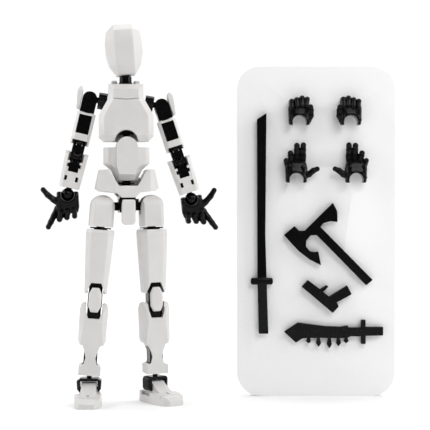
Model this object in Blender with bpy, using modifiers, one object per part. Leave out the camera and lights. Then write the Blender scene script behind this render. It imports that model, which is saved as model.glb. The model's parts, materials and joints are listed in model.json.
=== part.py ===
"""Humanoid robot kit: a jointed figure in white armour, and its card of spare hands and weapons.

The figure faces -Y and stands on z = 0. Every body hangs from an empty on its joint's axis, and is drawn in
that empty's frame. Sizes are in millimetres until a mesh is made, where MM turns them into metres.
Limbs are drawn once, for side = +1 (outward is +X), and mirrored for side = -1, the figure's own right.
"""
import math

import bmesh
import bpy
from mathutils import Matrix, Vector

MM = 0.001
OBJECT_NAME = "humanoid_robot_kit"
SIDES = {-1: "right", 1: "left"}

# Where the figure stands, and the heights of its joints above the floor.
FIGURE_X = -34.33
FIGURE_Y = -0.81
WAIST_Z = 82.3
CAPSULE_Z = 91.3
CHEST_Z = 98.0
SHOULDER_Z = 107.6
NECK_Z = 110.4
HEAD_Z = 119.5

# Arm and leg joints, measured down the straight limb from the shoulder and hip hinges.
CLAVICLE_X = 5.3
CLAVICLE_LENGTH = 7.6
ELBOW_UPPER = 15.7
ELBOW_LOWER = 21.2
WRIST = 35.0
HIP_X = 8.8
KNEE_UPPER = 30.3
KNEE_LOWER = 35.7
ANKLE_BALL = 59.2
ANKLE_PIN = 65.0
ANKLE_HEIGHT = 5.5

# How the figure is posed, in degrees.
PELVIS_YAW = 12.0
WAIST_YAW = -4.0
CHEST_YAW = -2.0
HEAD_TILT = -4.5
SHRUG = {-1: 9.8, 1: -9.8}
ARM_SPREAD = {-1: 13.6, 1: 17.5}
HAND_TILT = {-1: 0.0, 1: 9.0}
LEG_SPREAD = {-1: 4.5, 1: 1.5}
SHIN_YAW = {-1: -6.0, 1: 6.0}
FOOT_YAW = {-1: 2.0, 1: 38.0}

# The accessory card.
CARD_X = 34.92
CARD_Y = 15.19
CARD_WIDTH = 58.8
CARD_HEIGHT = 122.6
CARD_THICKNESS = 3.0
CARD_CORNER = 8.8
PEG_RADIUS = 0.45
PEG_LENGTH = 0.9
HOLE_RADIUS = 0.8
HOLE_DEPTH = 1.2
SEAT_GAP = 0.3

# The hands' fingers and palm merge in one skin of this voxel size, thinned to this share of its faces.
HAND_VOXEL = 0.5
HAND_DETAIL = 0.13


# ---------------------------------------------------------------- shapes, in millimetres

def box(x, y, z, bevel=0.0):
    """Return a box that spans the three (low, high) pairs, with its edges bevelled if asked."""
    bm = bmesh.new()
    bmesh.ops.create_cube(bm, size=1.0)
    size = [high - low for low, high in (x, y, z)]
    centre = [(high + low) / 2 for low, high in (x, y, z)]
    bm.transform(Matrix.Translation(centre) @ Matrix.Diagonal((*size, 1.0)))
    if bevel:
        bmesh.ops.bevel(bm, geom=bm.edges[:], offset=bevel, segments=1, affect="EDGES")
    return bm


def drum(radius, axis, low, high, centre=(0.0, 0.0), segments=20, radius_high=None):
    """Return a cylinder along an axis; centre gives the other two coordinates, in x, y, z order."""
    bm = bmesh.new()
    bmesh.ops.create_cone(bm, cap_ends=True, segments=segments, radius1=radius,
                          radius2=radius if radius_high is None else radius_high, depth=high - low)
    bm.transform(Matrix.Translation((0, 0, (low + high) / 2)))
    a, b = centre
    if axis == "X":
        bm.transform(Matrix.Translation((0, a, b)) @ Matrix.Rotation(math.pi / 2, 4, "Y"))
    elif axis == "Y":
        bm.transform(Matrix.Translation((a, 0, b)) @ Matrix.Rotation(-math.pi / 2, 4, "X"))
    else:
        bm.transform(Matrix.Translation((a, b, 0)))
    return bm


def ball(radius, centre=(0, 0, 0), segments=12):
    """Return a sphere."""
    bm = bmesh.new()
    bmesh.ops.create_uvsphere(bm, u_segments=segments, v_segments=segments // 2, radius=radius)
    bm.transform(Matrix.Translation(centre))
    return bm


def prism(outline, low, high, across="Y"):
    """Return an outline extruded along one axis; its points are (x, z), (y, z) or (x, y)."""
    def place(a, b, level):
        return {"Y": (a, level, b), "X": (level, a, b), "Z": (a, b, level)}[across]
    bm = bmesh.new()
    face = bm.faces.new([bm.verts.new(place(a, b, low)) for a, b in outline])
    grown = bmesh.ops.extrude_face_region(bm, geom=[face])["geom"]
    rise = Vector(place(0, 0, high - low))
    bmesh.ops.translate(bm, vec=rise, verts=[v for v in grown if isinstance(v, bmesh.types.BMVert)])
    bmesh.ops.recalc_face_normals(bm, faces=bm.faces)
    return bm


def both_sides(half):
    """Return a closed outline from its +x half, listed from the bottom up."""
    return list(half) + [(-a, b) for a, b in reversed(half) if abs(a) > 1e-6]


def octagon(half_x, half_y, cut_x, cut_y):
    """Return a rectangle's outline with its corners cut off."""
    return [(half_x, -half_y + cut_y), (half_x, half_y - cut_y), (half_x - cut_x, half_y),
            (-half_x + cut_x, half_y), (-half_x, half_y - cut_y), (-half_x, -half_y + cut_y),
            (-half_x + cut_x, -half_y), (half_x - cut_x, -half_y)]


def arc(centre, radius, start, end, steps):
    """Return points round an arc, its angles in degrees."""
    angles = [math.radians(start + (end - start) * i / steps) for i in range(steps + 1)]
    return [(centre[0] + radius * math.cos(a), centre[1] + radius * math.sin(a)) for a in angles]


def loft(sections):
    """Return a solid through unlike sections: each is a level z and an outline with as many points."""
    bm = bmesh.new()
    rings = [[bm.verts.new((x, y, z)) for x, y in outline] for z, outline in sections]
    for lower, upper in zip(rings, rings[1:]):
        for i in range(len(lower)):
            j = (i + 1) % len(lower)
            bm.faces.new((lower[i], lower[j], upper[j], upper[i]))
    bm.faces.new(rings[0][::-1])
    bm.faces.new(rings[-1])
    bmesh.ops.recalc_face_normals(bm, faces=bm.faces)
    return bm


def tube(points, radii, sides=8):
    """Return a solid rod through 3-D points, as thick at each as its radius, with blunt ends."""
    bm = bmesh.new()
    points = [Vector(p) for p in points]
    rings = []
    for i, point in enumerate(points):
        along = (points[min(i + 1, len(points) - 1)] - points[max(i - 1, 0)]).normalized()
        side = along.cross(Vector((0, 1, 0))).normalized()
        front = along.cross(side)
        turns = [2 * math.pi * k / sides for k in range(sides)]
        rings.append([bm.verts.new(point + radii[i] * (math.cos(t) * side + math.sin(t) * front))
                      for t in turns])
    for lower, upper in zip(rings, rings[1:]):
        for k in range(sides):
            m = (k + 1) % sides
            bm.faces.new((lower[k], lower[m], upper[m], upper[k]))
    bm.faces.new(rings[0][::-1])
    bm.faces.new(rings[-1])
    bmesh.ops.recalc_face_normals(bm, faces=bm.faces)
    return bm


def facing(outline, back, front, inset):
    """Return a panel that faces -Y: an outline from back to front, chamfered by inset round its face."""
    bm = prism(outline, front, back)
    face = min(bm.faces, key=lambda f: f.calc_center_median().y)
    bmesh.ops.bevel(bm, geom=list(face.edges), offset=inset, segments=1, affect="EDGES")
    return bm


# ---------------------------------------------------------------- scene building

def clear_scene():
    """Remove what the scene holds, and make a collection for the parts and one for the cutters."""
    for item in list(bpy.data.objects):
        bpy.data.objects.remove(item)
    made = []
    for name in (OBJECT_NAME, "cutters"):
        collection = bpy.data.collections.new(name)
        bpy.context.scene.collection.children.link(collection)
        made.append(collection)
    return made


def plastic(name, colour, roughness):
    """Return a moulded plastic."""
    material = bpy.data.materials.new(name)
    material.use_nodes = True
    shader = material.node_tree.nodes["Principled BSDF"]
    shader.inputs["Base Color"].default_value = (*colour, 1.0)
    shader.inputs["Roughness"].default_value = roughness
    shader.inputs["Metallic"].default_value = 0.0
    return material


def axis(name, parent, location, turn=(0, 0, 0)):
    """Return an empty on a joint's axis, placed in its parent's frame and turned in degrees."""
    empty = bpy.data.objects.new(name, None)
    PARTS.objects.link(empty)
    empty.parent = parent
    empty.location = Vector(location) * MM
    empty.rotation_euler = [math.radians(t) for t in turn]
    return empty


def place(name, collection, parent, bm, side):
    """Make a mesh object of a shape, mirrored for the right side, in its parent's frame."""
    if side < 0:
        bm.transform(Matrix.Diagonal((-1, 1, 1, 1)))
        bmesh.ops.reverse_faces(bm, faces=bm.faces)
    bm.transform(Matrix.Scale(MM, 4))
    mesh = bpy.data.meshes.new(name)
    bm.to_mesh(mesh)
    bm.free()
    item = bpy.data.objects.new(name, mesh)
    collection.objects.link(item)
    item.parent = parent
    return item


def cut_with(part, parent, shapes, operation, side):
    """Join, keep or cut a part by each shape in turn."""
    for number, shape in enumerate(shapes, 1):
        cutter = place(f"{part.name}_{operation.lower()}_{number}", CUTTERS, parent, shape, side)
        cutter.hide_render = True
        cutter.display_type = "WIRE"
        modifier = part.modifiers.new(cutter.name, "BOOLEAN")
        modifier.operation = operation
        modifier.solver = "EXACT"
        modifier.object = cutter


def solid(name, parent, material, base, add=(), keep=(), cut=(), pins=(), side=1):
    """Make one sub-part: a base, kept inside, joined with and cut by shapes, then crossed by its pins."""
    part = place(name, PARTS, parent, base, side)
    part.data.materials.append(material)
    cut_with(part, parent, keep, "INTERSECT", side)
    cut_with(part, parent, add, "UNION", side)
    cut_with(part, parent, cut, "DIFFERENCE", side)
    cut_with(part, parent, pins, "UNION", side)


# ---------------------------------------------------------------- torso

def make_pelvis(pelvis, flap):
    """Make the pelvis: its frame with hip holes, the V belt, and the loin guard on its pin."""
    solid("pelvis_frame", pelvis, BLACK, box((-2.9, 2.9), (-3.0, 3.0), (-2.2, 6.2)),
          add=[drum(4.3, "Z", 6.0, 7.7, segments=24),
               box((2.85, 3.6), (-5.7, -2.5), (0.5, 2.6)),
               box((-3.6, -2.85), (-5.7, -2.5), (0.5, 2.6)),
               drum(0.45, "X", -3.2, 3.2, (-4.9, 1.6), 12)],
          cut=[drum(1.65, "X", 0.9, 4.0), drum(1.65, "X", -4.0, -0.9), drum(1.8, "Z", 4.6, 9.0)])
    belt = both_sides([(2.5, 3.1), (4.2, 4.9), (9.8, 5.5), (11.2, 6.4), (9.6, 13.1), (7.0, 13.1),
                       (4.6, 10.2)])
    solid("pelvis_belt", pelvis, WHITE, prism(belt, -5.6, 5.6),
          keep=[prism(octagon(11.3, 5.6, 3.4, 2.2), 2.0, 14.0, "Z")],
          cut=[box((-3.9, 3.9), (-3.4, 3.4), (2.0, 5.6)),
               box((-4.8, 4.8), (-4.7, 4.7), (5.3, 14.0)), box((-6.9, 6.9), (1.9, 6.0), (10.4, 14.0)),
               prism([(-3.4, 7.3), (3.4, 7.3), (7.2, 13.6), (-7.2, 13.6)], -6.0, 2.0),
               box((-3.0, 3.0), (-4.3, -3.0), (2.0, 4.0))])
    guard = both_sides([(0.0, -6.6)] + arc((1.0, -5.2), 1.4, -90, 0, 4) + [(2.4, 1.9), (1.9, 2.4)])
    solid("loin_guard", flap, WHITE, facing([(a, b - 1.6) for a, b in guard], 1.3, -1.3, 0.45),
          cut=[drum(0.75, "X", -3.0, 3.0, (0.0, 0.0), 12), box((-1.3, 1.3), (0.6, 2.0), (-6.0, -1.6))])


def make_waist(link, shell, spine, chest):
    """Make the waist: its ball link, the abdomen shell with its capsule, and the spine link above."""
    solid("waist_link", link, BLACK, drum(1.5, "Z", -7.0, 0.0, segments=16),
          add=[ball(2.2), drum(2.9, "Z", -3.85, -3.4, segments=20)])
    bowl = loft([(-2.7, octagon(3.6, 3.0, 1.0, 1.0)), (1.2, octagon(5.6, 3.9, 2.1, 1.8)),
                 (3.3, octagon(8.1, 4.7, 2.2, 2.0)), (9.1, octagon(8.1, 4.7, 2.2, 2.0))])
    top = CAPSULE_Z - WAIST_Z
    capsule = prism([(3.8, 2.6)] + arc((0, top), 3.8, 0, 180, 12) + [(-3.8, 2.6), (-2.8, -0.6), (2.8, -0.6)],
                    -6.4, 2.9)
    solid("waist_shell", shell, WHITE, bowl,
          add=[capsule],
          cut=[drum(2.55, "Z", -3.0, 2.4, segments=20), box((-3.0, 3.0), (-1.4, 1.4), (top - 2.6, 14.0)),
               box((5.7, 9.0), (-6.0, -3.9), (1.0, 10.0)), box((-9.0, -5.7), (-6.0, -3.9), (1.0, 10.0)),
               drum(0.55, "Y", -2.6, 2.6, (0, top), 12)])
    rise = CHEST_Z - CAPSULE_Z
    solid("chest_link", spine, BLACK, drum(2.1, "Y", -1.0, 1.0, segments=20),
          add=[box((-1.0, 1.0), (-0.9, 0.9), (0.5, rise)), ball(1.9, (0, 0, rise)),
               drum(0.35, "Y", -2.2, 2.2, segments=12)])
    make_chest(chest)


def make_chest(chest):
    """Make the chest: a core that holds the spine, neck and clavicle sockets, and two shells round it."""
    shoulder = SHOULDER_Z - CHEST_Z
    neck = NECK_Z - CHEST_Z
    solid("chest_core", chest, BLACK, box((-5.2, 5.2), (-3.0, 3.0), (1.6, 13.4)),
          add=[box((-2.6, 2.6), (-2.8, 2.8), (-1.9, 2.0))],
          cut=[drum(2.15, "Z", -2.5, 2.2), drum(2.2, "X", 3.0, 6.0, (0, shoulder)),
               drum(2.2, "X", -6.0, -3.0, (0, shoulder)), drum(2.05, "Z", neck - 1.9, 14.0)])
    outline = both_sides([(8.1, -4.3), (9.7, -2.7), (9.7, 4.8), (6.2, 10.9), (6.2, 15.8)])
    arch = CAPSULE_Z - CHEST_Z + 2.1
    openings = [((low, low + 7.0), (-3.4, 3.4), (shoulder - 4.6, 14.4)) for low in (5.0, -12.0)]
    inside = ((-8.4, 8.4), (-3.3, 3.3), (-3.0, 14.4))
    solid("chest_front", chest, WHITE, facing(outline, -0.15, -7.0, 1.9),
          cut=[drum(4.1, "Y", -8.0, 1.0, (0, arch), 32), box(*inside),
               drum(3.5, "Z", 13.0, 17.0, segments=24), *[box(*b) for b in openings],
               prism([(-7.0, 10.65), (0, 10.05), (7.0, 10.65), (7.0, 11.0), (0, 10.4), (-7.0, 11.0)], -8.0,
                     -6.6)])
    back = facing([(-a, b) for a, b in outline], -0.15, -6.5, 1.6)
    back.transform(Matrix.Rotation(math.pi, 4, "Z"))
    solid("chest_rear", chest, WHITE, back,
          add=[box((2.9, 5.2), (0.15, 2.4), (15.0, 17.6), 0.4),
               box((-5.2, -2.9), (0.15, 2.4), (15.0, 17.6), 0.4)],
          cut=[drum(4.6, "Y", -1.0, 3.9, (0, arch), 24), box(*inside),
               drum(3.5, "Z", 13.0, 19.0, segments=24),
               *[box(*b) for b in openings]])


def make_head(neck, head):
    """Make the spool of the neck, with a ball at each end, and the faceted head."""
    rise = HEAD_Z - NECK_Z
    solid("neck_link", neck, BLACK, drum(1.1, "Z", 0.0, rise, segments=16),
          add=[ball(1.75), ball(1.6, (0, 0, rise)), drum(2.5, "Z", 3.75, 4.35, segments=24),
               drum(2.2, "Z", 4.3, 6.5, segments=24), drum(1.7, "Z", 6.45, 6.9, segments=24)])
    rows = [(-2.2, 3.3, -4.6, 3.2), (1.2, 5.6, -7.0, 6.4), (5.1, 6.6, -7.9, 7.9), (9.7, 6.6, -8.1, 8.4),
            (13.3, 6.0, -7.4, 7.8), (15.7, 3.6, -4.9, 4.7)]
    sections = []
    for z, half, front, rear in rows:
        strip = min(3.3, half - 0.05)
        sections.append((z, [(half, front * 0.45), (half, rear * 0.4), (strip, rear), (-strip, rear),
                             (-half, rear * 0.4), (-half, front * 0.45), (-strip, front), (strip, front)]))
    solid("head_shell", head, WHITE, loft(sections), cut=[drum(1.95, "Z", -3.0, 2.1, segments=20)])


# ---------------------------------------------------------------- arms

def make_arm(side, chest):
    """Make one arm, from the clavicle to the hand."""
    name = SIDES[side]
    clavicle = axis(f"{name}_arm_swing", chest, (side * CLAVICLE_X, 0, SHOULDER_Z - CHEST_Z),
                    (0, -side * SHRUG[side], 0))
    shoulder = axis(f"{name}_arm_spread", clavicle, (side * CLAVICLE_LENGTH, 0, 0),
                    (0, -side * (ARM_SPREAD[side] - SHRUG[side]), 0))
    upper = axis(f"{name}_arm_swivel", shoulder, (0, 0, 0))
    elbow = axis(f"{name}_elbow_upper", upper, (0, 0, -ELBOW_UPPER))
    forearm = axis(f"{name}_elbow_lower", elbow, (0, 0, ELBOW_UPPER - ELBOW_LOWER))
    wrist = axis(f"{name}_wrist", forearm, (0, 0, ELBOW_LOWER - WRIST),
                 (0, side * (ARM_SPREAD[side] - HAND_TILT[side]), 0))
    make_shoulder(name, side, clavicle, shoulder)
    make_upper_arm(name, side, upper)
    make_forearm(name, side, elbow, forearm)
    socket = [ball(2.7, (0, 0, 0), 20), drum(2.6, "Y", -4.0, 0.0, segments=24),
              drum(1.6, "Y", 0.0, 4.0, segments=16)]
    make_hand(f"{name}_hand", side, wrist, POINTING, 6.8, socket)


def make_shoulder(name, side, clavicle, shoulder):
    """Make the clavicle link with its hub and hinge eye, the shoulder block round it, and the cap."""
    end = CLAVICLE_LENGTH
    solid(f"{name}_clavicle_link", clavicle, BLACK, drum(3.0, "X", 1.5, end - 3.0, segments=8),
          add=[ball(1.85), drum(1.1, "X", 0.0, 2.0, segments=12),
               box((end - 3.2, end), (-1.0, 1.0), (-1.0, 1.0)),
               drum(1.8, "Y", -1.0, 1.0, (end, 0), 20)],
          cut=[drum(0.85, "Y", -3.0, 3.0, (end, 0), 12)], side=side)
    block = [(-2.6, -5.0), (2.6, -5.0)] + arc((0, 0), 2.6, 0, 180, 12)
    solid(f"{name}_shoulder_block", shoulder, BLACK, prism(block, -2.7, 2.7),
          cut=[box((-3.0, 2.15), (-1.3, 1.3), (-2.15, 3.0)), drum(1.5, "Z", -5.5, -2.7, segments=16)],
          pins=[drum(0.55, "Y", -2.0, 2.0, (0, 0), 12)], side=side)
    cap = [(2.9, -4.4), (3.9, -4.4), (4.7, 0.5), (4.9, 2.4), (4.3, 3.9), (3.4, 3.6), (2.9, 2.4)]
    solid(f"{name}_shoulder_cap", shoulder, WHITE, prism(cap, -3.1, 3.1),
          keep=[prism([(-2.0, -4.5), (2.0, -4.5), (3.1, -3.0), (3.1, 2.0), (1.8, 4.0), (-1.8, 4.0),
                       (-3.1, 2.0),
                       (-3.1, -3.0)], 2.0, 6.0, "X")], side=side)


def make_upper_arm(name, side, upper):
    """Make the upper arm: a frame with a swivel peg and an elbow eye, in a shell with a front window."""
    solid(f"{name}_upper_arm_frame", upper, BLACK, box((-2.25, 2.25), (-2.25, 2.2), (-13.6, -5.6)),
          add=[drum(1.2, "Z", -6.0, -3.1, segments=16), box((-0.9, 0.9), (-1.4, 1.4), (-ELBOW_UPPER, -13.0)),
               drum(1.8, "X", -0.9, 0.9, (0, -ELBOW_UPPER), 20)],
          cut=[drum(0.8, "X", -3.0, 3.0, (0, -ELBOW_UPPER), 12)], side=side)
    solid(f"{name}_upper_arm_armor", upper, WHITE, prism(octagon(3.3, 3.5, 1.1, 1.1), -16.7, -5.35, "Z"),
          cut=[box((-2.6, 2.6), (-2.6, 2.55), (-17.0, -5.0)), box((-2.3, 2.3), (-4.0, -2.0), (-12.9, -6.1)),
               box((-2.7, 2.7), (-4.0, 0.0), (-17.0, -15.3))], side=side)


def make_forearm(name, side, elbow, forearm):
    """Make the double elbow link, and the forearm: a frame with the wrist ball in a slotted shell."""
    drop = ELBOW_UPPER - ELBOW_LOWER
    cheek = arc((0, 0), 1.75, 0, 180, 8) + arc((0, drop), 1.75, 180, 360, 8)
    web = arc((0, 0), 2.1, -140, -40, 8) + arc((0, drop), 2.1, 40, 140, 8)
    solid(f"{name}_elbow_link", elbow, BLACK, prism(web, -1.6, 1.6, "X"),
          add=[prism(cheek, 1.2, 2.15, "X"), prism(cheek, -2.15, -1.2, "X"),
               drum(0.5, "X", -1.6, 1.6, (0, 0), 12), drum(0.5, "X", -1.6, 1.6, (0, drop), 12)], side=side)
    ball_z = ELBOW_LOWER - WRIST
    solid(f"{name}_forearm_frame", forearm, BLACK, box((-2.2, 2.2), (-2.6, 2.1), (-10.9, -2.4)),
          add=[box((-0.9, 0.9), (-1.4, 1.4), (-3.0, 0.0)), drum(1.8, "X", -0.9, 0.9, (0, 0), 20),
               drum(0.95, "Z", ball_z, -10.0, segments=12), ball(2.3, (0, 0, ball_z), 20)],
          cut=[drum(0.8, "X", -3.0, 3.0, (0, 0), 12)], side=side)
    shell = loft([(-11.4, octagon(3.55, 3.2, 1.1, 1.1)), (-9.5, octagon(3.7, 3.3, 1.1, 1.1)),
                  (1.5, octagon(4.1, 3.7, 1.2, 1.2))])
    fold_room = prism([(-5.0, -1.3), (-0.5, 3.2), (-5.0, 3.2)], -5.0, 5.0, "X")
    solid(f"{name}_forearm_armor", forearm, WHITE, shell,
          cut=[box((-2.55, 2.55), (-2.95, 2.45), (-12.0, 3.0)), fold_room,
               box((-1.8, 1.8), (-5.0, 0.0), (-5.7, 3.0)), box((-2.75, 2.75), (-5.0, 0.0), (-1.9, 3.0)),
               box((-2.5, 2.5), (-5.0, -2.0), (-4.1, -2.8)), box((1.5, 2.5), (-5.0, -2.0), (-9.0, -7.3)),
               box((-2.5, -1.5), (-5.0, -2.0), (-9.0, -7.3))], side=side)


# A hand's fingers: (points from the knuckle on, radii), drawn hanging down with the palm to the front.
POINTING = [([(3.6, 0.6, -5.0), (4.9, 0.2, -7.6), (6.0, -0.3, -9.8), (6.9, -0.8, -11.6)],
             (1.3, 1.2, 1.15, 1.0)),
            ([(1.9, 1.0, -6.2), (2.9, 0.6, -8.6), (2.9, -1.7, -8.9), (2.5, -2.9, -6.9)],
             (1.2, 1.15, 1.1, 0.95)),
            ([(-0.2, 1.1, -6.0), (0.4, 0.8, -8.2), (0.3, -1.6, -8.3), (0.1, -2.9, -6.3)],
             (1.15, 1.1, 1.05, 0.95)),
            ([(-2.5, 1.0, -5.6), (-2.4, 0.7, -7.8), (-2.4, -1.6, -7.8), (-2.3, -2.7, -5.8)],
             (1.1, 1.05, 1.0, 0.9)),
            ([(2.8, 0.2, -3.4), (4.9, -0.4, -1.9), (7.0, -0.7, -0.2), (8.6, -0.9, 1.7)],
             (1.4, 1.3, 1.2, 1.0))]
GRIPPING = [([(2.8, 1.2, -5.0), (2.8, 1.0, -8.4), (2.8, -1.8, -8.4), (2.7, -2.6, -5.9)],
             (1.0, 0.95, 0.95, 0.85)),
            ([(1.0, 1.2, -5.0), (1.0, 1.0, -8.8), (1.0, -1.8, -8.8), (1.0, -2.6, -6.1)],
             (1.0, 0.95, 0.95, 0.85)),
            ([(-0.9, 1.2, -5.0), (-0.9, 1.0, -8.2), (-0.9, -1.8, -8.2), (-0.8, -2.6, -5.8)],
             (1.0, 0.95, 0.95, 0.85)),
            ([(-2.9, 1.2, -4.6), (-2.9, 1.0, -7.7), (-2.9, -1.7, -7.7), (-2.8, -2.4, -5.4)],
             (0.95, 0.9, 0.9, 0.8)),
            ([(3.2, -0.4, -0.8), (4.3, -0.8, -2.4), (4.4, -1.3, -4.4), (4.2, -1.7, -5.4)],
             (1.1, 1.05, 1.0, 0.8))]
OPEN = [([(2.7, 0.6, -5.0), (2.4, 0.5, -9.0), (2.4, 0.1, -11.2), (2.5, -0.3, -13.1)], (1.1, 1.05, 1.0, 0.9)),
        ([(0.5, 0.7, -5.0), (0.2, 0.6, -9.0), (0.1, 0.1, -11.2), (0.0, -0.4, -12.9)], (1.1, 1.05, 1.0, 0.9)),
        ([(-1.6, 0.7, -5.0), (-2.0, 0.6, -7.8), (-2.2, 0.0, -9.2), (-2.2, -0.8, -10.0)],
         (1.05, 1.0, 0.95, 0.85)),
        ([(-3.0, 0.6, -4.2), (-3.5, 0.5, -6.0), (-3.7, 0.0, -7.0), (-3.8, -0.7, -7.5)],
         (1.0, 0.95, 0.9, 0.8)),
        ([(2.8, 0.2, -1.4), (4.8, -0.2, -2.2), (6.4, -0.4, -3.5), (7.9, -0.5, -4.3)],
         (1.3, 1.1, 0.95, 0.75))]


def merged(shapes):
    """Return overlapping shapes gathered in one mesh."""
    bm = bmesh.new()
    for shape in shapes:
        mesh = bpy.data.meshes.new("shape")
        shape.to_mesh(mesh)
        shape.free()
        bm.from_mesh(mesh)
        bpy.data.meshes.remove(mesh)
    return bm


def make_hand(name, side, parent, fingers, reach, socket):
    """Make one hand, its wrist socket round the origin, its palm of a given reach, its fingers as listed."""
    palm = loft([(-reach, octagon(3.9, 1.7, 0.9, 0.8)), (-reach + 2.3, octagon(4.2, 2.0, 0.9, 0.9)),
                 (-3.0, octagon(4.1, 2.4, 1.0, 0.9)), (1.0, octagon(3.9, 2.4, 1.0, 0.9))])
    rods = [tube(points, radii) for points, radii in fingers]
    hand = place(name, PARTS, parent, merged([palm, *rods]), side)
    hand.data.materials.append(BLACK)
    skin = hand.modifiers.new("skin", "REMESH")
    skin.mode = "VOXEL"
    skin.voxel_size = HAND_VOXEL * MM
    thin = hand.modifiers.new("thin", "DECIMATE")
    thin.ratio = HAND_DETAIL
    cuts = [box((-2.1, 2.1), (-4.0, 4.0), (0.0, 3.0)), *socket]
    cut_with(hand, parent, cuts, "DIFFERENCE", side)


# ---------------------------------------------------------------- legs

def pelvis_roll():
    """Return the small roll that stands both feet on the floor, in degrees."""
    rise = ANKLE_BALL * (math.cos(math.radians(LEG_SPREAD[1])) - math.cos(math.radians(LEG_SPREAD[-1])))
    return -math.degrees(math.asin(rise / (2 * HIP_X)))


def hip_height():
    """Return the height of the pelvis, so that the soles are at z = 0."""
    leg = ANKLE_BALL * sum(math.cos(math.radians(a)) for a in LEG_SPREAD.values()) / 2
    return ANKLE_HEIGHT + ANKLE_PIN - ANKLE_BALL + leg


def make_leg(side, pelvis):
    """Make one leg, from the hip link to the foot."""
    name = SIDES[side]
    roll = pelvis_roll()
    hip = axis(f"{name}_leg_swing", pelvis, (0, 0, 0))
    thigh = axis(f"{name}_leg_spread", hip, (side * HIP_X, 0, 0), (0, -side * LEG_SPREAD[side] - roll, 0))
    lower = axis(f"{name}_thigh_swivel", thigh, (0, 0, 0), (0, 0, SHIN_YAW[side]))
    knee = axis(f"{name}_knee_upper", lower, (0, 0, -KNEE_UPPER))
    shin = axis(f"{name}_knee_lower", knee, (0, 0, KNEE_UPPER - KNEE_LOWER))
    ankle = axis(f"{name}_ankle_roll", shin, (0, 0, KNEE_LOWER - ANKLE_BALL))
    lean = (Matrix.Rotation(math.radians(PELVIS_YAW), 3, "Z")
            @ Matrix.Rotation(math.radians(-side * LEG_SPREAD[side]), 3, "Y")
            @ Matrix.Rotation(math.radians(SHIN_YAW[side]), 3, "Z"))
    level = Matrix.Rotation(math.radians(FOOT_YAW[side]), 3, "Z")
    foot = axis(f"{name}_ankle_pitch", ankle, (0, 0, 0))
    ankle.rotation_euler = (lean.inverted() @ level).to_euler()
    foot.location = Vector((0, 0, ANKLE_BALL - ANKLE_PIN)) * MM
    make_thigh(name, side, hip, thigh, lower)
    make_knee(name, side, knee)
    make_shin(name, side, shin)
    make_foot(name, side, ankle, foot)


def make_thigh(name, side, hip, thigh, lower):
    """Make the hip link, the round-topped cover with its hub, and the lower thigh on its swivel."""
    solid(f"{name}_hip_link", hip, BLACK, drum(1.35, "X", 1.3, 6.0, segments=16),
          add=[box((3.3, 5.4), (-1.5, 1.5), (-1.5, 1.5)), box((5.2, HIP_X), (-1.1, 1.1), (-1.1, 1.1)),
               drum(1.9, "Y", -1.1, 1.1, (HIP_X, 0), 20)],
          cut=[drum(0.95, "Y", -3.0, 3.0, (HIP_X, 0), 12)], side=side)
    cheeks = [(-2.5, -6.9), (2.5, -6.9)] + arc((0, 0), 2.5, 0, 180, 10)
    solid(f"{name}_thigh_hub", thigh, BLACK, prism(cheeks, -2.9, 2.9),
          cut=[box((-3.0, 3.0), (-1.45, 1.45), (-2.3, 3.0)), drum(1.8, "Z", -7.5, -3.4, segments=16)],
          pins=[drum(0.6, "Y", -2.2, 2.2, (0, 0), 12)], side=side)
    front = [(-4.1, -7.2), (4.1, -7.2)] + arc((0, 0), 4.1, 0, 180, 12)
    profile = [(-4.6, -7.2), (4.6, -7.2)] + arc((0, 0), 4.6, 0, 180, 12)
    solid(f"{name}_thigh_cover", thigh, WHITE, prism(front, -4.8, 4.8),
          keep=[prism(profile, -5.0, 5.0, "X"), prism(octagon(4.2, 4.7, 1.3, 1.5), -8.0, 5.0, "Z")],
          cut=[box((-2.85, 2.85), (-3.25, 3.25), (-8.0, 2.85)), box((-5.0, 2.2), (-1.9, 1.9), (-2.7, 5.0))],
          side=side)
    solid(f"{name}_thigh_frame", lower, BLACK, box((-2.4, 2.4), (-2.5, 2.5), (-28.0, -7.6)),
          add=[prism(octagon(3.7, 4.0, 1.2, 1.4), -7.95, -7.5, "Z"), drum(1.5, "Z", -8.0, -3.8, segments=16),
               box((-2.4, 2.4), (-2.6, -2.3), (-29.0, -27.0)),
               box((-1.0, 1.0), (-1.6, 1.6), (-KNEE_UPPER, -27.5)),
               drum(2.0, "X", -1.0, 1.0, (0, -KNEE_UPPER), 20)],
          cut=[drum(0.95, "X", -3.0, 3.0, (0, -KNEE_UPPER), 12)], side=side)
    shell = loft([(-31.1, octagon(4.0, 4.2, 1.6, 1.6)), (-9.4, octagon(5.0, 5.0, 2.1, 2.0)),
                  (-8.3, octagon(4.8, 4.8, 2.1, 2.0))])
    solid(f"{name}_thigh_armor", lower, WHITE, shell,
          cut=[box((-2.8, 2.8), (-2.9, 2.9), (-32.0, -8.0)),
               prism(both_sides([(3.3, -32.0), (3.1, -30.4), (1.8, -27.3)]), -6.0, -1.0),
               box((-2.8, 2.8), (0.0, 6.0), (-32.0, -27.6))], side=side)


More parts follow.
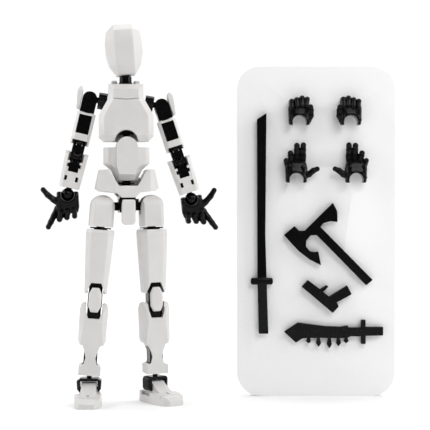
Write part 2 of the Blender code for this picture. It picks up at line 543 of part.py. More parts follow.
def make_knee(name, side, knee):
    """Make the double knee link and the kneecap in front of it."""
    drop = KNEE_UPPER - KNEE_LOWER
    cheek = arc((0, 0), 2.0, 0, 180, 8) + arc((0, drop), 2.0, 180, 360, 8)
    web = arc((0, 0), 2.3, -143, -37, 8) + arc((0, drop), 2.3, 37, 143, 8)
    rim = both_sides([(1.45, -7.6), (2.55, -5.3), (2.55, -0.7), (1.4, 1.7)])
    solid(f"{name}_knee_link", knee, BLACK, prism(web, -1.7, 1.7, "X"),
          add=[prism(cheek, 1.3, 2.4, "X"), prism(cheek, -2.4, -1.3, "X"),
               drum(0.6, "X", -1.7, 1.7, (0, 0), 12), drum(0.6, "X", -1.7, 1.7, (0, drop), 12),
               box((-1.0, 1.0), (-3.3, -1.2), (drop + 2.4, -2.4)), prism(rim, -3.6, -3.1)], side=side)
    cap = both_sides([(1.25, -7.3), (2.25, -5.2), (2.25, -0.8), (1.2, 1.4)])
    solid(f"{name}_kneecap", knee, WHITE, facing(cap, -3.9, -5.3, 0.5), side=side)


def make_shin(name, side, shin):
    """Make the shin: a frame in a shell with two calf pods, a narrow front plate and a cuff."""
    solid(f"{name}_shin_frame", shin, BLACK, box((-2.4, 2.4), (-2.4, 2.4), (-24.0, -2.5)),
          add=[box((-1.0, 1.0), (-1.6, 1.6), (-3.4, 0.0)), box((-2.4, 2.4), (-2.6, -2.3), (-4.0, -1.3)),
               drum(2.0, "X", -1.0, 1.0, (0, 0), 20)],
          cut=[drum(0.95, "X", -3.0, 3.0, (0, 0), 12), drum(1.8, "Z", -25.0, -21.6, segments=20)], side=side)
    half = [(3.9, -24.4), (3.9, -21.2), (2.3, -20.5), (1.75, -18.2), (2.2, -16.4), (3.1, -13.9),
            (4.3, -13.5),
            (4.9, -12.0), (5.1, -1.0), (4.6, 0.9), (3.5, 1.4), (2.9, 0.8), (2.9, -1.5), (2.0, -4.2)]
    profile = [(-3.8, -25.0), (3.7, -25.0), (3.7, -16.0), (4.9, -9.0), (4.9, -5.0), (1.6, 2.0), (-3.0, 2.0),
               (-4.6, -1.5), (-4.8, -6.0), (-3.8, -16.0)]
    solid(f"{name}_shin_armor", shin, WHITE, prism(both_sides(half), -5.0, 5.0),
          keep=[prism(profile, -6.0, 6.0, "X"), prism(octagon(5.2, 5.0, 2.2, 2.2), -26.0, 3.0, "Z")],
          cut=[box((-2.8, 2.8), (-2.8, 2.8), (-26.0, 3.0)), box((-2.8, 2.8), (0.0, 6.0), (-5.4, 3.0))],
          side=side)


def make_foot(name, side, ankle, foot):
    """Make the ankle yoke with its ball, and the foot that pitches on the yoke's pin."""
    drop = ANKLE_BALL - ANKLE_PIN
    yoke = both_sides([(3.2, -7.0), (4.2, -6.0), (4.4, -3.0), (3.0, -2.0)])
    solid(f"{name}_ankle_link", ankle, BLACK, prism(yoke, -2.5, 2.5),
          keep=[prism(octagon(4.4, 2.5, 0.9, 0.8), -8.0, 2.0, "Z")],
          cut=[box((-3.05, 3.05), (-4.0, 4.0), (-8.0, -3.1))],
          add=[drum(0.9, "Z", -2.4, 0.0, segments=12), ball(1.5)],
          pins=[drum(0.6, "X", -3.6, 3.6, (0, drop), 12)], side=side)
    sole = -ANKLE_HEIGHT
    plan = both_sides([(2.6, -13.0), (4.2, -11.4), (4.9, -6.0), (4.5, 0.0), (3.5, 4.6), (2.7, 6.2)])
    profile = [(-13.0, sole), (6.2, sole), (6.4, sole + 3.0), (5.4, sole + 3.9), (-2.0, sole + 3.9),
               (-7.0, sole + 4.0), (-11.6, sole + 3.1), (-13.2, sole + 1.4)]
    tongue = [(-3.4, sole + 2.0), (2.4, sole + 2.0), (2.2, 1.0), (1.0, 2.2), (-1.4, 2.2), (-2.6, 1.0),
              (-7.2, sole + 3.7), (-7.2, sole + 2.0)]
    solid(f"{name}_foot", foot, WHITE, prism(plan, sole, 0.0, "Z"),
          keep=[prism(profile, -6.0, 6.0, "X")],
          add=[prism(tongue, -2.7, 2.7, "X")],
          cut=[box((2.7, 6.0), (-3.1, 3.1), (sole + 2.6, 0.0)),
               box((-6.0, -2.7), (-3.1, 3.1), (sole + 2.6, 0.0)),
               drum(0.95, "X", -6.0, 6.0, (0, 0), 12), box((-0.5, 0.5), (-8.6, -6.6), (sole + 3.1, 0.0)),
               box((-6.0, 6.0), (-9.9, -9.6), (sole + 2.4, 0.0))], side=side)


# ---------------------------------------------------------------- accessory card

def peg_hole(x, z, back):
    """Return the blind hole in an accessory's back for one of the card's pegs."""
    return drum(HOLE_RADIUS, "Y", back - HOLE_DEPTH, back + 1.0, (x, z), 12)


def flat_accessory(name, card, place_at, outline, depth, pegs, add=()):
    """Make a flat accessory on the card, facing -Y, with a hole at each peg."""
    x, z = place_at
    holder = axis(f"{name}_pull", card, (x, -CARD_THICKNESS / 2 - SEAT_GAP, z))
    solid(name, holder, BLACK, prism(outline, -depth, 0.0), add=add,
          cut=[peg_hole(a, b, 0.0) for a, b in pegs])
    PEGS.extend((x + a, z + b) for a, b in pegs)


def make_card(card):
    """Make the accessory card with its pegs, and what hangs on it."""
    make_weapons(card)
    make_spare_hands(card)
    w, h, r = CARD_WIDTH / 2, CARD_HEIGHT, CARD_CORNER
    outline = (arc((w - r, r), r, -90, 0, 8) + arc((w - r, h - r), r, 0, 90, 8)
               + arc((-w + r, h - r), r, 90, 180, 8) + arc((-w + r, r), r, 180, 270, 8))
    half = CARD_THICKNESS / 2
    solid("accessory_card", card, CARD, prism(outline, -half, half),
          add=[drum(PEG_RADIUS, "Y", -half - SEAT_GAP - PEG_LENGTH, 0.0, peg, 8) for peg in PEGS])


def make_spare_hands(card):
    """Make the two gripping and the two open hands, fingers up."""
    rows = (("grip", GRIPPING, 7.4, 101.5, -6.4, 12.5), ("open", OPEN, 6.6, 80.2, -7.5, 14.5))
    for kind, fingers, reach, z, first_x, second_x in rows:
        flipped = [([(px, -py, pz) for px, py, pz in points], radii) for points, radii in fingers]
        for side, x in ((1, first_x), (-1, second_x)):
            name = f"spare_hand_{kind}_{SIDES[-side]}"
            holder = axis(f"{name}_pull", card, (x, -CARD_THICKNESS / 2 - SEAT_GAP - 2.5, z), (180, 0, 0))
            socket = [drum(2.65, "Y", -4.0, 4.0, segments=24),
                      drum(HOLE_RADIUS, "Y", -3.6, -2.5 + HOLE_DEPTH, (0, -5.0), 12)]
            make_hand(name, side, holder, flipped, reach, socket)
            PEGS.append((x, z + 5.0))


def make_weapons(card):
    """Make the long sword, the axe, the pistol and the saw-backed sword."""
    blade = [(-1.1, -19.4), (2.4, -19.4), (1.8, 0.0), (1.3, 17.1), (1.2, 35.7), (1.7, 62.2), (-1.8, 59.9),
             (-1.9, 35.7), (-1.9, 17.1), (-1.6, 0.0)]
    flat_accessory("katana", card, (-20.2, 42.8), blade, 2.2, [(0.3, -9.0), (-0.3, 25.0)],
                   add=[box((-4.1, 4.1), (-2.7, -0.05), (-1.25, 1.25), 0.5)])
    axe = [(-14.4, -2.6), (-11.1, -6.1), (-7.2, -9.1), (-3.0, -11.2), (-4.0, -6.1), (-5.3, -6.3),
           (-7.1, -6.0),
           (-8.6, -4.2), (-8.5, -2.1), (-6.9, -0.2), (-4.6, 0.0), (13.7, -18.6), (16.1, -16.6), (-3.2, 3.0),
           (-2.1, 4.4), (0.5, 5.1), (3.1, 4.8), (3.0, 8.8), (1.4, 11.9), (-9.0, 1.6), (-11.1, 1.6),
           (-12.8, 3.3), (-16.7, 0.0)]
    flat_accessory("axe", card, (4.7, 59.9), axe, 2.2, [(-11.6, -1.2), (5.2, -8.0)])
    pistol = [(1.9, -6.5), (4.1, -4.2), (3.4, -2.6), (8.9, 0.4), (7.2, 3.7), (0.6, -0.4), (-1.7, 1.3),
              (0.3, 3.2),
              (-0.4, 3.8), (-2.8, 2.3), (-7.3, 5.7), (-9.6, 3.2)]
    flat_accessory("pistol", card, (4.1, 37.6), pistol, 2.6, [(-3.3, 0.0)])
    teeth = []
    for x, drop in ((-3.5, 2.1), (0.2, 3.3), (4.2, 3.9), (7.6, 3.1), (10.4, 2.0)):
        teeth += [(x - 0.45, -2.3), (x - 0.95, -2.3 - drop * 0.6), (x, -2.3 - drop),
                  (x + 0.95, -2.3 - drop * 0.6),
                  (x + 0.45, -2.3)]
    saw = ([(-12.6, 0.0), (-8.2, -4.0), (-5.6, -2.4)] + teeth
           + [(12.0, -1.7), (15.9, -1.7), (15.9, -4.5), (17.6, -4.5), (17.6, -1.5), (24.1, -1.4),
              (24.1, 1.8),
              (17.6, 1.8), (17.6, 4.4), (15.9, 4.4), (15.9, 1.6), (11.3, 1.6), (10.9, 2.4), (8.3, 1.9),
              (2.7, 2.1),
              (-2.8, 2.8), (-7.5, 3.4)])
    flat_accessory("saw_sword", card, (0.6, 24.1), saw, 2.0, [(-3.0, 0.2), (13.5, 0.0)])


# ---------------------------------------------------------------- assembly

def build():
    """Build the figure and its card, standing side by side."""
    pelvis_z = hip_height()
    pelvis = axis("pelvis", None, (FIGURE_X, FIGURE_Y, pelvis_z), (0, pelvis_roll(), PELVIS_YAW))
    flap = axis("guard_hinge", pelvis, (0, -4.9, 1.6))
    link = axis("waist_twist", pelvis, (0, 0, WAIST_Z - pelvis_z), (0, 0, WAIST_YAW))
    shell = axis("waist_bend", link, (0, 0, 0))
    spine = axis("chest_tilt", shell, (0, 0, CAPSULE_Z - WAIST_Z))
    chest = axis("chest_lean", spine, (0, 0, CHEST_Z - CAPSULE_Z), (0, 0, CHEST_YAW))
    neck = axis("neck_nod", chest, (0, 0, NECK_Z - CHEST_Z))
    head = axis("head_turn", neck, (0, 0, HEAD_Z - NECK_Z), (0, HEAD_TILT, 0))
    make_pelvis(pelvis, flap)
    make_waist(link, shell, spine, chest)
    make_head(neck, head)
    for side in SIDES:
        make_arm(side, chest)
        make_leg(side, pelvis)
    make_card(axis("card", None, (CARD_X, CARD_Y, 0)))


PARTS, CUTTERS = clear_scene()
WHITE = plastic("white_armour_plastic", (0.83, 0.82, 0.81), 0.42)
BLACK = plastic("black_frame_plastic", (0.012, 0.012, 0.013), 0.3)
CARD = plastic("card_plastic", (0.86, 0.86, 0.86), 0.5)
PEGS = []
build()
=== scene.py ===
"""Looks of the humanoid robot kit: smooth white shells, glossy black frame and hands, on a pale floor."""
import json
import math

import bmesh
import bpy
from mathutils import Matrix, Vector


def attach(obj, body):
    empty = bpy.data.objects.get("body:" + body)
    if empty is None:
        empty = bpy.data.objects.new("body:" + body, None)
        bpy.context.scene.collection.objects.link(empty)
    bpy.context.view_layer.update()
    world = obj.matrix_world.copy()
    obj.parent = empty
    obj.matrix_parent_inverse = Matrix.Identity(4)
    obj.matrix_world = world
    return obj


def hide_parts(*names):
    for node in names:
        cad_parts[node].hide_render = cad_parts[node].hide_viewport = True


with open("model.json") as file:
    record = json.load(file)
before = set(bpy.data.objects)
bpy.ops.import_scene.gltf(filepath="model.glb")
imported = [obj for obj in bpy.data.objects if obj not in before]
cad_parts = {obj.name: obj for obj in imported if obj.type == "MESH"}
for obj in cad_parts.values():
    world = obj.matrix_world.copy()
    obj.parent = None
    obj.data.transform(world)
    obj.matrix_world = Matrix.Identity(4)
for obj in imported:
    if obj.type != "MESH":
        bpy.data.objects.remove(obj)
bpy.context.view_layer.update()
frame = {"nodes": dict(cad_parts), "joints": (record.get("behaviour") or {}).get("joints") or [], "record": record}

MM = 0.001

# Edge rounding of the white shells, the black frame parts and the accessories.
SHELL_EDGE = 0.22 * MM
FRAME_EDGE = 0.12 * MM
BLADE_EDGE = 0.3 * MM
ACCESSORIES = ("katana", "axe", "pistol", "saw_sword")

# Angles between faces: shaded sharp, rounded off, and flat enough to merge. Then the weld distance.
SMOOTH_ANGLE = math.radians(34)
EDGE_ANGLE = math.radians(24)
FLAT_ANGLE = math.radians(1.5)
WELD = 0.001 * MM

# The skin of a hand: voxel size, and rounds of smoothing.
HAND_VOXEL = 0.14 * MM
HAND_ROUNDS = 3

# A finger, in mm: the step between its beads, and how much slimmer it is between two joints.
BEAD_STEP = 0.22
FINGER_WAIST = 0.09

# The rim round the wrist socket: radius and thickness in mm, start and sweep in degrees, its beads, and
# the face that it stands on.
CLASP_RADIUS = 3.05
CLASP_THICKNESS = 0.5
CLASP_START = -190
CLASP_SWEEP = 200
CLASP_BEADS = 48
CLASP_FACE = -1.9

# The wrist socket in mm: its ball, its open front and the small hole through the back of a closed hand.
SOCKET_BALL = 2.7
SOCKET_DRUM = 2.62
SOCKET_BACK = 1.6
SLOT_HALF_WIDTH = 2.1
THROUGH = 4.5

# The blind hole in the back of a spare hand, for its peg on the card, in mm.
PEG_HOLE_RADIUS = 0.8
PEG_HOLE_END = -1.3
PEG_HOLE_Z = -5.0

# The floor in metres: where it starts to curve up, the radius of the curve, and the top of the backdrop.
FLOOR_REACH = 1.0
FLOOR_BEND = 0.5
BACKDROP_TOP = 1.6
FLOOR_TURNS = 64
BEND_STEPS = 12

# The side behind the camera stays flat over this many degrees each way, rises over the next, and runs wider.
OPEN_ANGLE = 45
RISE_ANGLE = 30
OPEN_WIDER = 0.8

# The camera in metres: its distance, height and place sideways, and how wide the picture is at the figure.
CAMERA_DISTANCE = 0.42
CAMERA_HEIGHT = 0.0673
CAMERA_X = -0.0026
PICTURE_WIDTH = 0.1548
SENSOR_MM = 36.0

RECORD = frame["record"]
SLOT_OF = {part["node"]: part["material_slot"] for part in RECORD["subparts"]}
BODY_OF = {node: body for body, nodes in RECORD["behaviour"]["bodies"].items() for node in nodes}
JOINTS = {joint["name"]: joint for joint in frame["joints"]}


# ---------------------------------------------------------------- materials

def node(tree, kind, links=(), **values):
    """Add a shader node, set its inputs by name, and link sockets into it."""
    made = tree.nodes.new(kind)
    for name, value in values.items():
        key = name.replace("_", " ")
        if key in made.inputs:
            made.inputs[key].default_value = value
        else:
            setattr(made, name, value)
    for source, target in links:
        tree.links.new(source, made.inputs[target])
    return made


def new_material(name):
    """Return a material with its tree and shader."""
    material = bpy.data.materials.new(name)
    material.use_nodes = True
    tree = material.node_tree
    return material, tree, tree.nodes["Principled BSDF"]


def noise(tree, place, scale, detail=3.0):
    """Return noise at a scale in features per metre."""
    return node(tree, "ShaderNodeTexNoise", [(place.outputs["Object"], "Vector")], Scale=scale, Detail=detail)


def ranged(tree, source, low, high, start=0.3, end=0.7):
    """Return a value that runs from low to high as the source runs from start to end."""
    made = node(tree, "ShaderNodeMapRange", [(source, "Value")])
    for key, value in (("From Min", start), ("From Max", end), ("To Min", low), ("To Max", high)):
        made.inputs[key].default_value = value
    return made.outputs["Result"]


def two_tone(tree, factor, first, second):
    """Return a colour between two, by a factor."""
    made = tree.nodes.new("ShaderNodeMix")
    made.data_type = "RGBA"
    tree.links.new(factor, made.inputs[0])
    made.inputs[6].default_value = (*first, 1.0)
    made.inputs[7].default_value = (*second, 1.0)
    return made.outputs[2]


def bumped(tree, shader, height, strength, distance):
    """Give a shader a bump from a height."""
    made = node(tree, "ShaderNodeBump", [(height, "Height")], Strength=strength, Distance=distance)
    tree.links.new(made.outputs["Normal"], shader.inputs["Normal"])


def white_plastic():
    """Satin white moulded plastic: faint cloudiness, a fine eroded texture, and painted shade darkening its
    corners.
    """
    material, tree, shader = new_material("white_armour")
    place = tree.nodes.new("ShaderNodeTexCoord")
    cloud = noise(tree, place, 140.0)
    corners = node(tree, "ShaderNodeAmbientOcclusion", samples=6, Distance=0.0009)
    haze = ranged(tree, cloud.outputs["Fac"], 0.0, 1.0)
    tint = two_tone(tree, haze, (0.635, 0.62, 0.61), (0.67, 0.66, 0.65))
    # Painted shade: where the ambient occlusion finds corners and recesses, the colour darkens to a warm grey.
    painted_corner_shade = tree.nodes.new("ShaderNodeMix")
    painted_corner_shade.data_type = "RGBA"
    tree.links.new(ranged(tree, corners.outputs["AO"], 0.0, 1.0, 0.15, 0.75), painted_corner_shade.inputs[0])
    painted_corner_shade.inputs[6].default_value = (0.56, 0.54, 0.52, 1.0)
    tree.links.new(tint, painted_corner_shade.inputs[7])
    tree.links.new(painted_corner_shade.outputs[2], shader.inputs["Base Color"])
    rough = noise(tree, place, 900.0, 4.0)
    tree.links.new(ranged(tree, rough.outputs["Fac"], 0.34, 0.46), shader.inputs["Roughness"])
    shader.inputs["Subsurface Weight"].default_value = 0.08
    shader.inputs["Subsurface Radius"].default_value = (0.0009, 0.0008, 0.0007)
    shader.inputs["IOR"].default_value = 1.5
    grain = noise(tree, place, 5200.0, 2.0)
    bumped(tree, shader, grain.outputs["Fac"], 0.10, 0.00006)
    return material


def black_plastic():
    """Semi-gloss black plastic: flow marks in its gloss, fine scratches and a little dust."""
    material, tree, shader = new_material("black_frame")
    place = tree.nodes.new("ShaderNodeTexCoord")
    flow = noise(tree, place, 260.0)
    dust = noise(tree, place, 2600.0, 5.0)
    specks = ranged(tree, dust.outputs["Fac"], 0.0, 1.0, 0.55, 0.8)
    tint = two_tone(tree, specks, (0.0026, 0.0026, 0.0027), (0.008, 0.008, 0.0083))
    tree.links.new(tint, shader.inputs["Base Color"])
    tree.links.new(ranged(tree, flow.outputs["Fac"], 0.12, 0.2), shader.inputs["Roughness"])
    shader.inputs["IOR"].default_value = 1.46
    shader.inputs["Specular IOR Level"].default_value = 0.15
    ripple = noise(tree, place, 1300.0, 2.0)
    bumped(tree, shader, ripple.outputs["Fac"], 0.12, 0.00012)
    return material


def card_sheet():
    """Pale grey matt sheet with a faint fibre grain."""
    material, tree, shader = new_material("card")
    place = tree.nodes.new("ShaderNodeTexCoord")
    stretch = node(tree, "ShaderNodeMapping", [(place.outputs["Object"], "Vector")], Scale=(1.0, 1.0, 0.35))
    fibre = node(tree, "ShaderNodeTexNoise", [(stretch.outputs["Vector"], "Vector")], Scale=3200.0,
                 Detail=4.0)
    shade = ranged(tree, fibre.outputs["Fac"], 0.0, 1.0)
    tint = two_tone(tree, shade, (0.88, 0.88, 0.88), (0.91, 0.91, 0.91))
    tree.links.new(tint, shader.inputs["Base Color"])
    tree.links.new(ranged(tree, fibre.outputs["Fac"], 0.5, 0.62), shader.inputs["Roughness"])
    bumped(tree, shader, fibre.outputs["Fac"], 0.15, 0.00005)
    return material


MATERIALS = {"white_armour": white_plastic(), "black_frame": black_plastic(), "card": card_sheet()}


# ---------------------------------------------------------------- pieces

def finish_piece(piece, cad_node):
    """Give a piece its material, and let it ride on and stand for a CAD node."""
    slot = SLOT_OF[cad_node]
    piece.data.materials.clear()
    piece.data.materials.append(MATERIALS[slot])
    piece.data.shade_smooth()
    piece.data.set_sharp_from_angle(angle=SMOOTH_ANGLE)
    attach(piece, BODY_OF[cad_node])
    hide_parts(cad_node)


def new_piece(name, bm):
    """Make an object of a mesh."""
    mesh = bpy.data.meshes.new(name)
    bm.to_mesh(mesh)
    bm.free()
    piece = bpy.data.objects.new(name, mesh)
    bpy.context.scene.collection.objects.link(piece)
    return piece


def clean_copy(cad_node):
    """Return a CAD node's mesh, welded and with its flat faces whole."""
    bm = bmesh.new()
    bm.from_mesh(frame["nodes"][cad_node].data)
    bmesh.ops.remove_doubles(bm, verts=bm.verts, dist=WELD)
    bmesh.ops.dissolve_limit(bm, angle_limit=FLAT_ANGLE, verts=bm.verts, edges=bm.edges)
    return bm


def rounded(cad_node, width):
    """Stand a finer copy for a CAD node, with its sharp edges rounded."""
    piece = new_piece(f"{cad_node}_moulding", clean_copy(cad_node))
    bevel = piece.modifiers.new("edge", "BEVEL")
    bevel.width = width
    bevel.segments = 3
    bevel.limit_method = "ANGLE"
    bevel.angle_limit = EDGE_ANGLE
    finish_piece(piece, cad_node)


# ---------------------------------------------------------------- hands

# A hand's fingers in mm: (joint centres from the knuckle on, radii), hanging down, palm to the front. The
# thumb is the last.
POINTING = [([(3.6, 0.6, -5.0), (4.9, 0.2, -7.6), (6.0, -0.3, -9.8), (6.9, -0.8, -11.6)],
             (1.3, 1.2, 1.15, 1.0)),
            ([(1.9, 1.0, -6.2), (2.9, 0.6, -8.6), (2.9, -1.7, -8.9), (2.5, -2.9, -6.9)],
             (1.2, 1.15, 1.1, 0.95)),
            ([(-0.2, 1.1, -6.0), (0.4, 0.8, -8.2), (0.3, -1.6, -8.3), (0.1, -2.9, -6.3)],
             (1.15, 1.1, 1.05, 0.95)),
            ([(-2.5, 1.0, -5.6), (-2.4, 0.7, -7.8), (-2.4, -1.6, -7.8), (-2.3, -2.7, -5.8)],
             (1.1, 1.05, 1.0, 0.9)),
            ([(2.8, 0.2, -3.4), (4.9, -0.4, -1.9), (7.0, -0.7, -0.2), (8.6, -0.9, 1.7)],
             (1.4, 1.3, 1.2, 1.0))]
POINTING_REACH = 6.8
GRIPPING = [([(2.8, 1.2, -5.0), (2.8, 1.0, -8.4), (2.8, -1.8, -8.4), (2.7, -2.6, -5.9)],
             (1.1, 1.1, 1.05, 0.9)),
            ([(0.9, 1.2, -5.0), (0.9, 1.0, -8.8), (0.9, -1.8, -8.8), (0.9, -2.6, -6.1)],
             (1.1, 1.1, 1.05, 0.9)),
            ([(-1.0, 1.2, -5.0), (-1.0, 1.0, -8.2), (-1.0, -1.8, -8.2), (-0.9, -2.6, -5.8)],
             (1.1, 1.1, 1.05, 0.9)),
            ([(-2.9, 1.2, -4.6), (-2.9, 1.0, -7.7), (-2.9, -1.7, -7.7), (-2.8, -2.4, -5.4)],
             (1.05, 1.05, 1.0, 0.85)),
            ([(3.3, -0.4, -0.6), (4.2, -0.9, -2.4), (4.2, -1.3, -4.4), (4.1, -1.7, -5.6)],
             (1.15, 1.2, 1.15, 1.0))]
OPEN = [([(2.4, 0.6, -5.0), (2.5, 0.5, -9.0), (2.5, 0.1, -11.2), (2.6, -0.3, -12.9)], (1.35, 1.3, 1.25, 1.1)),
        ([(0.4, 0.7, -5.0), (0.3, 0.6, -9.0), (0.25, 0.1, -11.2), (0.2, -0.4, -12.7)],
         (1.35, 1.3, 1.25, 1.15)),
        ([(-1.6, 0.7, -5.0), (-1.9, 0.6, -7.8), (-2.1, 0.0, -9.2), (-2.2, -0.8, -9.9)],
         (1.3, 1.25, 1.2, 1.1)),
        ([(-3.0, 0.6, -4.2), (-3.4, 0.5, -6.0), (-3.7, 0.0, -6.9), (-3.8, -0.7, -7.2)],
         (1.2, 1.15, 1.1, 1.0)),
        ([(2.8, 0.2, -1.4), (4.7, -0.2, -2.2), (6.3, -0.4, -3.5), (7.7, -0.5, -4.1)],
         (1.4, 1.3, 1.2, 1.0))]

# Where the four spare hands hang on the card: node, side, fingers, palm reach, place in mm.
SPARE_HANDS = [("spare_hand_grip_right", 1, GRIPPING, 7.4, (28.52, 10.89, 101.5)),
               ("spare_hand_grip_left", -1, GRIPPING, 7.4, (47.42, 10.89, 101.5)),
               ("spare_hand_open_right", 1, OPEN, 6.6, (27.42, 10.89, 80.2)),
               ("spare_hand_open_left", -1, OPEN, 6.6, (49.42, 10.89, 80.2))]


def bead(bm, centre, radius, detail=2):
    """Add a small ball."""
    bmesh.ops.create_icosphere(bm, subdivisions=detail, radius=radius, matrix=Matrix.Translation(centre))


def finger(bm, points, radii):
    """Add a finger as a run of beads along its joints, a little fuller at each joint."""
    for i in range(len(points) - 1):
        start, end = Vector(points[i]), Vector(points[i + 1])
        steps = max(3, int((end - start).length / BEAD_STEP))
        for step in range(steps + 1):
            t = step / steps
            waist = 1.0 - FINGER_WAIST * math.sin(math.pi * t)
            bead(bm, start.lerp(end, t), (radii[i] * (1 - t) + radii[i + 1] * t) * waist)


def rounded_ring(bm, z, half_x, half_y, sides=28, power=3.2):
    """Add a ring of vertices on a rounded rectangle; a higher power makes its corners squarer."""
    ring = []
    for i in range(sides):
        a = 2 * math.pi * i / sides
        c, s = math.cos(a), math.sin(a)
        ring.append(bm.verts.new((half_x * math.copysign(abs(c) ** (2 / power), c),
                                  half_y * math.copysign(abs(s) ** (2 / power), s), z)))
    return ring


def palm(bm, reach):
    """Add the palm as a stack of rounded rectangles."""
    rows = [(-reach, 3.2, 1.1), (-reach + 0.5, 3.75, 1.55), (-reach + 2.3, 4.15, 1.95), (-3.0, 4.1, 2.3),
            (-1.0, 4.0, 2.35), (0.6, 3.9, 2.3), (1.0, 3.6, 2.0)]
    rings = [rounded_ring(bm, z, hx, hy) for z, hx, hy in rows]
    for one, other in zip(rings, rings[1:]):
        for i in range(len(one)):
            j = (i + 1) % len(one)
            bm.faces.new((one[i], one[j], other[j], other[i]))
    bm.faces.new(rings[0][::-1])
    bm.faces.new(rings[-1])


def wrist_clasp(bm, faces):
    """Add the raised rim round the wrist socket, on the faces asked for."""
    for y in faces:
        for step in range(CLASP_BEADS + 1):
            a = math.radians(CLASP_START + CLASP_SWEEP * step / CLASP_BEADS)
            bead(bm, (CLASP_RADIUS * math.cos(a), y, CLASP_RADIUS * math.sin(a)), CLASP_THICKNESS, 1)


def oriented(bm, frame_matrix):
    """Put a mesh in place, and turn its faces out again if it was mirrored."""
    bm.transform(frame_matrix)
    if frame_matrix.determinant() < 0:
        bmesh.ops.reverse_faces(bm, faces=bm.faces)


def cutter(name, frame_matrix, kind, *size):
    """Make a cutter: drum along y (radius, low, high, x, z), ball (radius) or box (its three ranges)."""
    bm = bmesh.new()
    if kind == "drum":
        radius, low, high, x, z = size
        turn = Matrix.Translation((x, (low + high) / 2, z)) @ Matrix.Rotation(math.pi / 2, 4, "X")
        bmesh.ops.create_cone(bm, cap_ends=True, segments=40, radius1=radius, radius2=radius,
                              depth=high - low, matrix=turn)
    elif kind == "ball":
        bmesh.ops.create_uvsphere(bm, u_segments=32, v_segments=20, radius=size[0])
    else:
        middle = Matrix.Translation([(low + high) / 2 for low, high in size])
        spans = Matrix.Diagonal([high - low for low, high in size] + [1])
        bmesh.ops.create_cube(bm, size=1.0, matrix=middle @ spans)
    oriented(bm, frame_matrix)
    return new_piece(name, bm)


def hand_body(fingers, reach, closed):
    """Return a hand's rough body: palm, fingers, knuckles, the two pads of the palm and the wrist's rim."""
    bm = bmesh.new()
    palm(bm, reach)
    for points, radii in fingers:
        finger(bm, points, radii)
    for points, radii in fingers[:-1]:
        x, y, z = points[0]
        finger(bm, [(x * 0.8, 1.05 * math.copysign(1, y), -3.4), (x, y, z)], (0.9, radii[0] * 0.95))
    thumb_root = fingers[-1][0][0]
    finger(bm, [(3.1, 0.2, -1.2), thumb_root], (1.0, 1.1))
    front = -math.copysign(1, fingers[0][0][0][1])
    for x, low, radius in ((-3.0, -5.0, 1.05), (2.6, -4.6, 1.2)):
        finger(bm, [(x, 1.5 * front, -0.8), (x * 0.92, 0.9 * front, low)], (radius, radius))
    wrist_clasp(bm, (CLASP_FACE,) if closed else (CLASP_FACE, -CLASP_FACE))
    return bm


def hand_cuts(closed):
    """Return the cuts for a hand's wrist socket, and for a spare hand's peg hole."""
    slot = ("box", (-SLOT_HALF_WIDTH, SLOT_HALF_WIDTH), (-THROUGH, THROUGH), (0.0, 5.0))
    if closed:
        return [("drum", SOCKET_DRUM, -THROUGH, 0.0, 0.0, 0.0), slot, ("ball", SOCKET_BALL),
                ("drum", SOCKET_BACK, -0.5, THROUGH, 0.0, 0.0)]
    return [("drum", SOCKET_DRUM, -THROUGH, THROUGH, 0.0, 0.0), slot,
            ("drum", PEG_HOLE_RADIUS, -4.0, PEG_HOLE_END, 0.0, PEG_HOLE_Z)]


def sculpted_hand(cad_node, place, turn, side, fingers, reach, closed):
    """Sculpt a hand in one skin, with its wrist socket cut in, in place of a CAD hand."""
    mirrored = Matrix.Diagonal((side * MM, MM, MM, 1.0))
    frame_matrix = Matrix.Translation(Vector(place)) @ turn.to_4x4() @ mirrored
    bm = hand_body(fingers, reach, closed)
    oriented(bm, frame_matrix)
    piece = new_piece(f"{cad_node}_skin", bm)
    skin = piece.modifiers.new("skin", "REMESH")
    skin.mode = "VOXEL"
    skin.voxel_size = HAND_VOXEL
    relax = piece.modifiers.new("relax", "SMOOTH")
    relax.factor = 0.5
    relax.iterations = HAND_ROUNDS
    tools = [cutter(f"{cad_node}_cutter_{number}", frame_matrix, *shape)
             for number, shape in enumerate(hand_cuts(closed))]
    for tool in tools:
        cut = piece.modifiers.new(tool.name, "BOOLEAN")
        cut.operation = "DIFFERENCE"
        cut.solver = "EXACT"
        cut.object = tool
    carved = bpy.data.meshes.new_from_object(piece.evaluated_get(bpy.context.evaluated_depsgraph_get()))
    piece.modifiers.clear()
    piece.data = carved
    for tool in tools:
        bpy.data.objects.remove(tool)
    finish_piece(piece, cad_node)


def make_hands():
    """Sculpt the figure's two hands and the four spare ones."""
    for name, side in (("right", -1), ("left", 1)):
        wrist = JOINTS[f"{name}_wrist"]
        x = -Vector(wrist["axis"]).normalized()
        y = Vector((0, 0, 1)).cross(x).normalized()
        turn = Matrix((x, y, x.cross(y))).transposed()
        sculpted_hand(f"{name}_hand", wrist["pos_m"], turn, side, POINTING, POINTING_REACH, True)
    upside_down = Matrix.Rotation(math.pi, 3, "X")
    for cad_node, side, fingers, reach, place in SPARE_HANDS:
        flipped = [([(px, -py, pz) for px, py, pz in points], radii) for points, radii in fingers]
        sculpted_hand(cad_node, [v * MM for v in place], upside_down, side, flipped, reach, False)


def make_pieces():
    """Make every visible piece from the frame's nodes."""
    for cad_node, slot in SLOT_OF.items():
        if cad_node.endswith("_hand") or cad_node.startswith("spare_hand"):
            continue
        if cad_node in ACCESSORIES:
            rounded(cad_node, BLADE_EDGE)
        elif slot == "white_armour":
            rounded(cad_node, SHELL_EDGE)
        else:
            rounded(cad_node, FRAME_EDGE)
    make_hands()


# ---------------------------------------------------------------- studio

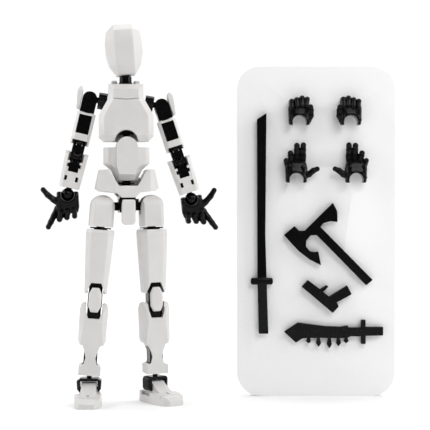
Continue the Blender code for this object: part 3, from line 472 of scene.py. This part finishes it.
def make_floor():
    """Make a pale floor that curves up into a backdrop all round, except behind the camera."""
    profile = [(0.02, 0.0), (FLOOR_REACH, 0.0)]
    for step in range(1, BEND_STEPS + 1):
        a = math.pi / 2 * step / BEND_STEPS
        profile.append((FLOOR_REACH + FLOOR_BEND * math.sin(a), FLOOR_BEND - FLOOR_BEND * math.cos(a)))
    profile.append((FLOOR_REACH + FLOOR_BEND, BACKDROP_TOP))
    bm = bmesh.new()
    rings = []
    for turn in range(FLOOR_TURNS):
        angle = 2 * math.pi * turn / FLOOR_TURNS
        away = abs(math.degrees(angle) - 180)
        lift = min(1.0, max(0.0, (away - OPEN_ANGLE) / RISE_ANGLE))
        ring = []
        for reach, rise in profile:
            far = reach * (1 + OPEN_WIDER * (1 - lift) * (reach >= FLOOR_REACH))
            ring.append(bm.verts.new((-math.sin(angle) * far, math.cos(angle) * far, rise * lift)))
        rings.append(ring)
    for one, other in zip(rings, rings[1:] + rings[:1]):
        for row in range(len(profile) - 1):
            bm.faces.new((one[row], one[row + 1], other[row + 1], other[row]))
    bm.faces.new([ring[0] for ring in rings])
    bmesh.ops.recalc_face_normals(bm, faces=bm.faces)
    floor = new_piece("studio_floor", bm)
    floor.data.shade_smooth()
    material, tree, shader = new_material("studio_paper")
    place = tree.nodes.new("ShaderNodeTexCoord")
    grain = noise(tree, place, 60.0)
    tree.links.new(two_tone(tree, grain.outputs["Fac"], (0.87, 0.87, 0.87), (0.89, 0.89, 0.89)),
                   shader.inputs["Base Color"])
    shader.inputs["Roughness"].default_value = 0.9
    floor.data.materials.append(material)


def area_light(name, place, aim, size, power):
    """Make a soft rectangular light."""
    lamp = bpy.data.lights.new(name, "AREA")
    lamp.shape = "RECTANGLE"
    lamp.size, lamp.size_y = size
    lamp.energy = power
    item = bpy.data.objects.new(name, lamp)
    bpy.context.scene.collection.objects.link(item)
    item.location = place
    item.rotation_euler = (Vector(aim) - Vector(place)).to_track_quat("-Z", "Y").to_euler()


def make_lights():
    middle = (0.0, 0.0, 0.07)
    area_light("left_softbox", (-0.55, -0.12, 0.34), middle, (0.28, 0.36), 1.75)
    area_light("right_softbox", (0.55, -0.12, 0.34), middle, (0.28, 0.36), 1.75)
    area_light("top_softbox", (0.0, 0.05, 0.75), middle, (0.7, 0.5), 1.4)
    area_light("front_fill", (0.26, -0.6, 0.55), (0.035, 0.0, 0.06), (0.5, 0.3), 2.6)
    area_light("rear_fill", (0.0, 0.7, 0.45), middle, (0.8, 0.3), 0.35)
    area_light("backdrop_light", (0.0, 0.3, 1.1), (0.0, 1.5, 0.25), (1.6, 0.4), 14.5)
    world = bpy.data.worlds.new("studio_world")
    world.use_nodes = True
    world.node_tree.nodes["Background"].inputs["Color"].default_value = (1.0, 1.0, 1.0, 1.0)
    world.node_tree.nodes["Background"].inputs["Strength"].default_value = 0.1
    bpy.context.scene.world = world
    bpy.context.scene.view_settings.view_transform = "Standard"


def make_camera():
    """Make the camera, level and at the height of the hips."""
    data = bpy.data.cameras.new("camera")
    data.sensor_width = SENSOR_MM
    data.lens = SENSOR_MM * CAMERA_DISTANCE / PICTURE_WIDTH
    data.clip_start = 0.01
    camera = bpy.data.objects.new("camera", data)
    camera.location = (CAMERA_X, -CAMERA_DISTANCE, CAMERA_HEIGHT)
    camera.rotation_euler = (math.pi / 2, 0, 0)
    bpy.context.scene.collection.objects.link(camera)
    bpy.context.scene.camera = camera


make_camera()
make_pieces()
make_floor()
make_lights()
